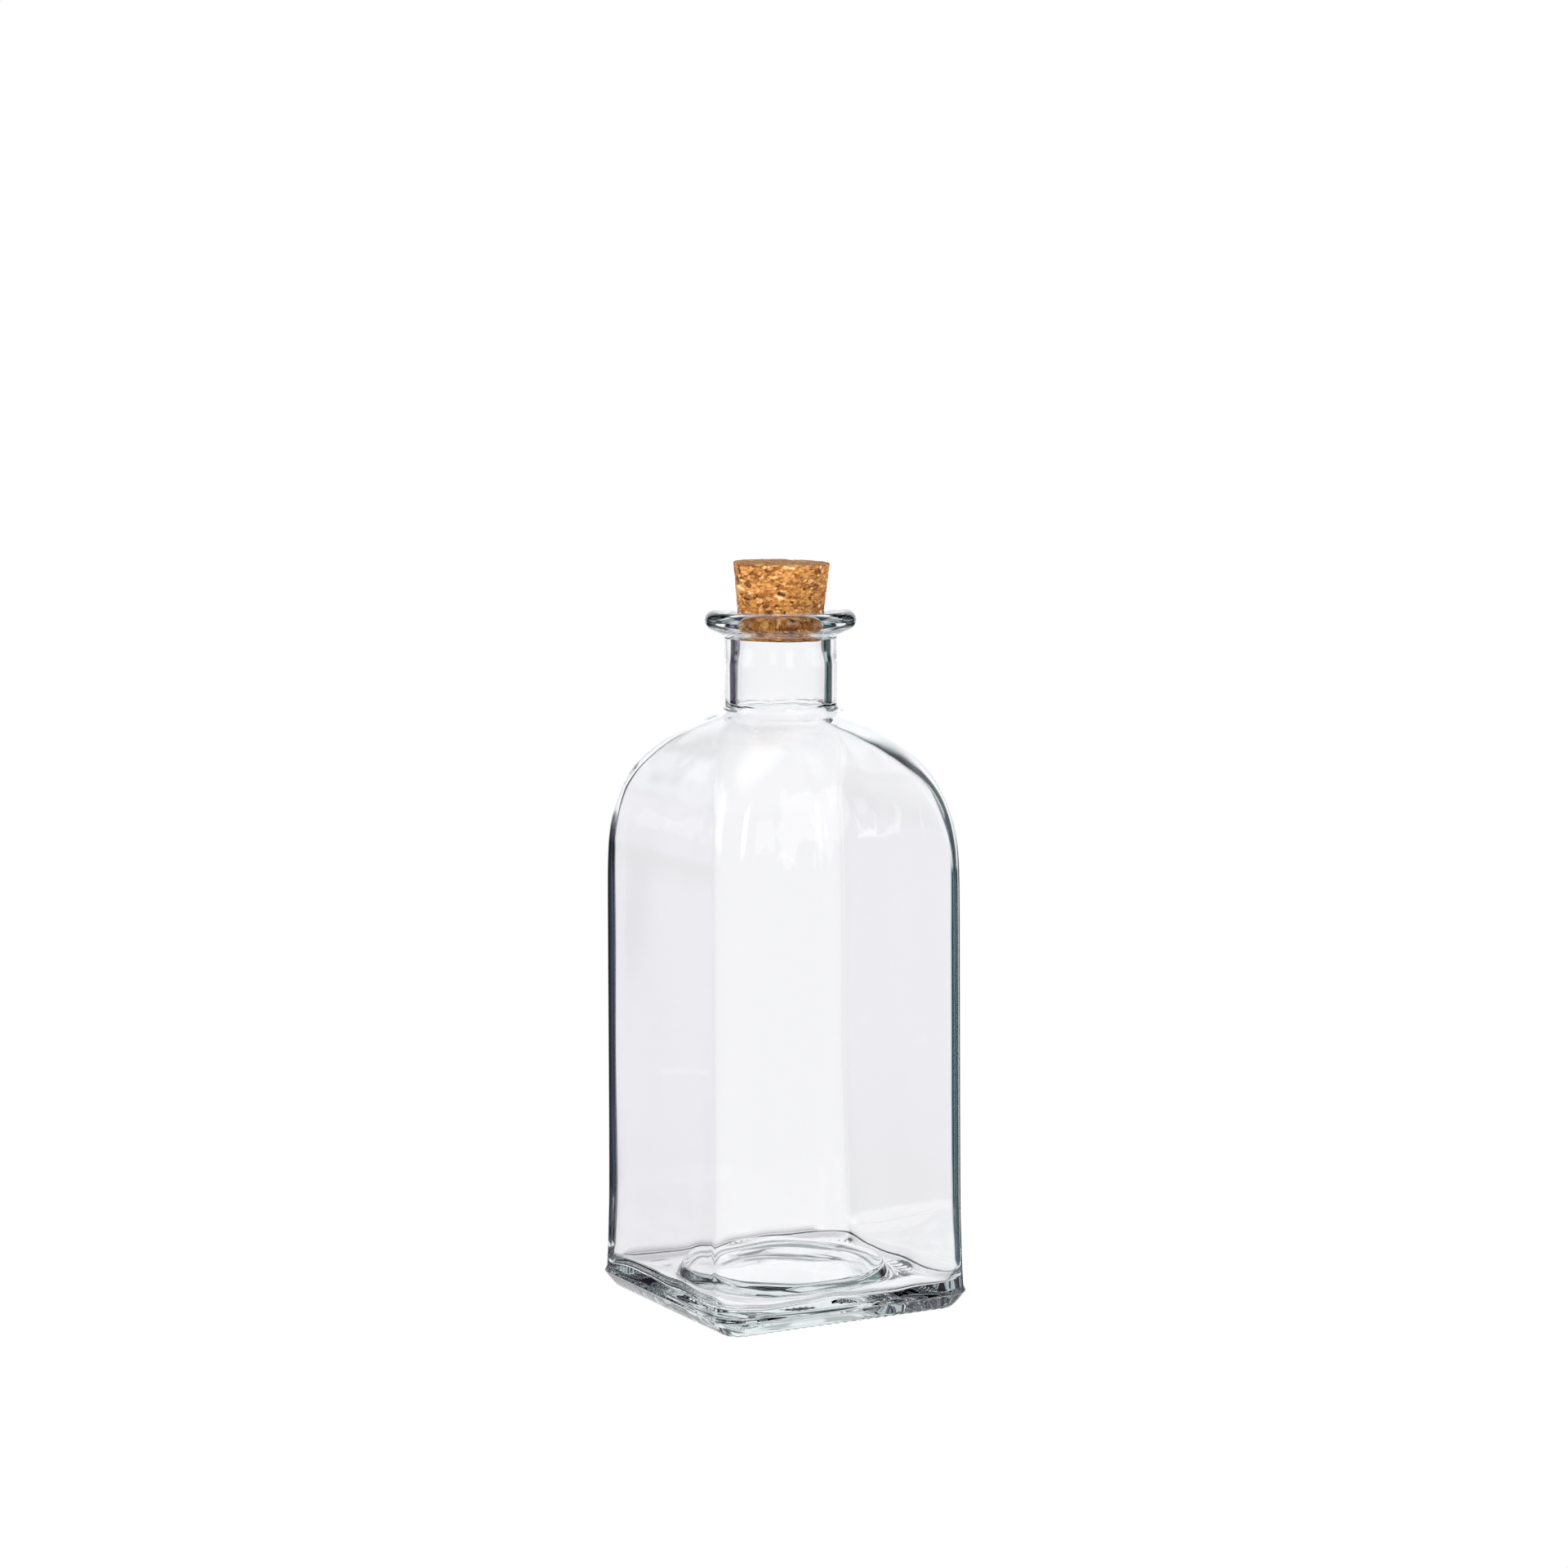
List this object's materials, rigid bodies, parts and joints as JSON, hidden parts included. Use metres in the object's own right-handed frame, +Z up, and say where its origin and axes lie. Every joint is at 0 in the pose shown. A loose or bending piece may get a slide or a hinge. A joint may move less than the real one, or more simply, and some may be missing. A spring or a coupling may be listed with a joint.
{
  "type": "square glass bottle with cork stopper",
  "caption": "Empty square clear-glass bottle with arched shoulders, a round neck with a wide rounded lip, and a tapered cork stopper pushed into the mouth.",
  "frame": {"origin": "centre of the foot, on the surface the bottle stands on", "axes": "+Z up along the neck's axis; the four flat sides face +X, -X, +Y and -Y"},
  "size_m": [0.088, 0.088, 0.2305],
  "materials": {
    "glass": "clear, smooth, faint green-blue tint in thick parts",
    "cork": "matte agglomerated cork, tan with dark flecks"
  },
  "bodies": {
    "root": {"bottle": "glass", "cork": "cork"}
  },
  "joints": []
}
